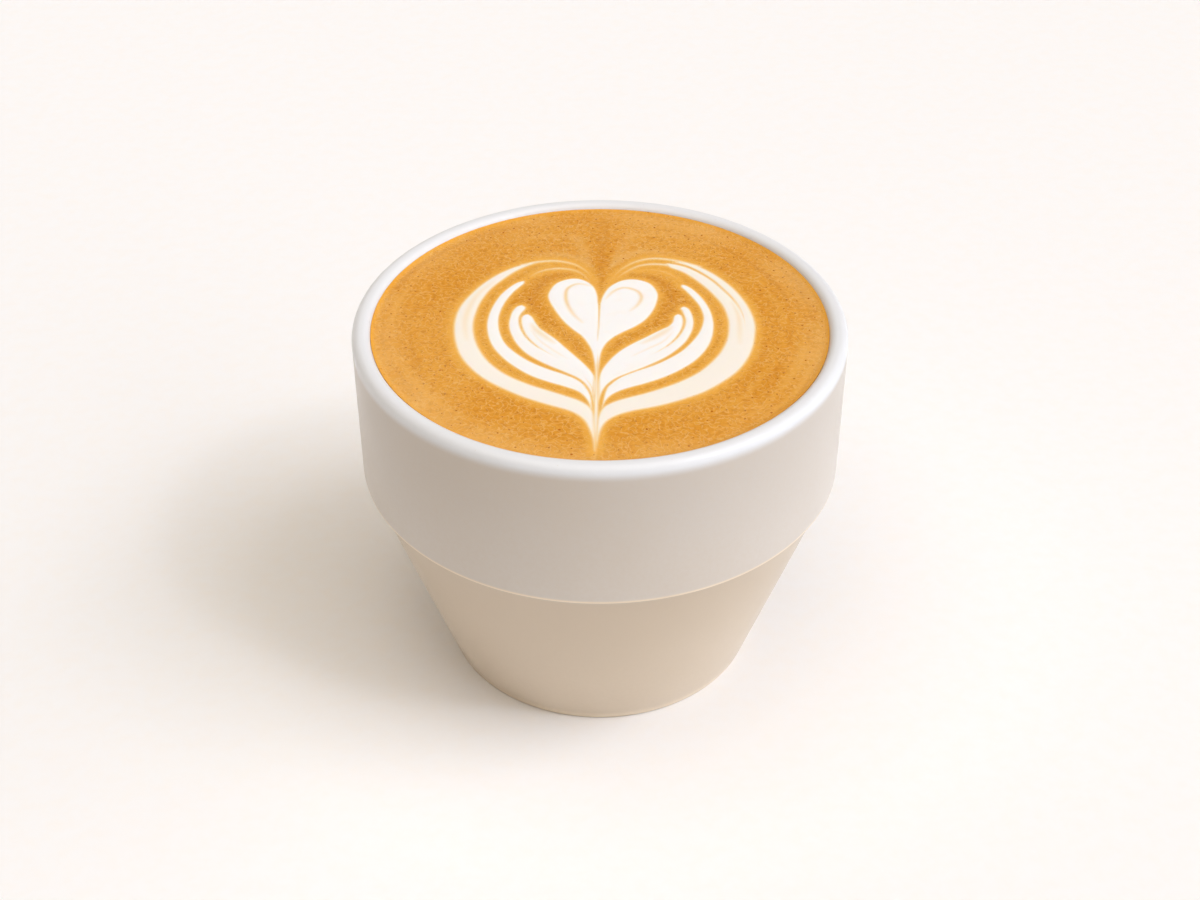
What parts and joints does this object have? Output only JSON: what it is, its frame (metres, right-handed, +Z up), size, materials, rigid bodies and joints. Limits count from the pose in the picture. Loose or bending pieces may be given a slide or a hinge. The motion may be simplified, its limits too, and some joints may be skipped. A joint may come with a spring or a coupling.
{
  "type": "latte",
  "caption": "Milky coffee with a poured heart and leaf figure, filled to the lip of a handleless two-step stoneware cup.",
  "frame": {"origin": "centre of the cup's foot, in the plane it stands on", "axes": "+Z up along the cup's axis; the figure's tail points to -Y, towards the drinker, and +X is to the drinker's right"},
  "size_m": [0.09, 0.09, 0.0718],
  "materials": {
    "cup_glaze": "satin",
    "coffee": "satin",
    "milk": "satin"
  },
  "bodies": {
    "root": {"cup": "cup_glaze", "coffee": "coffee", "milk_figure": "milk"}
  },
  "joints": []
}
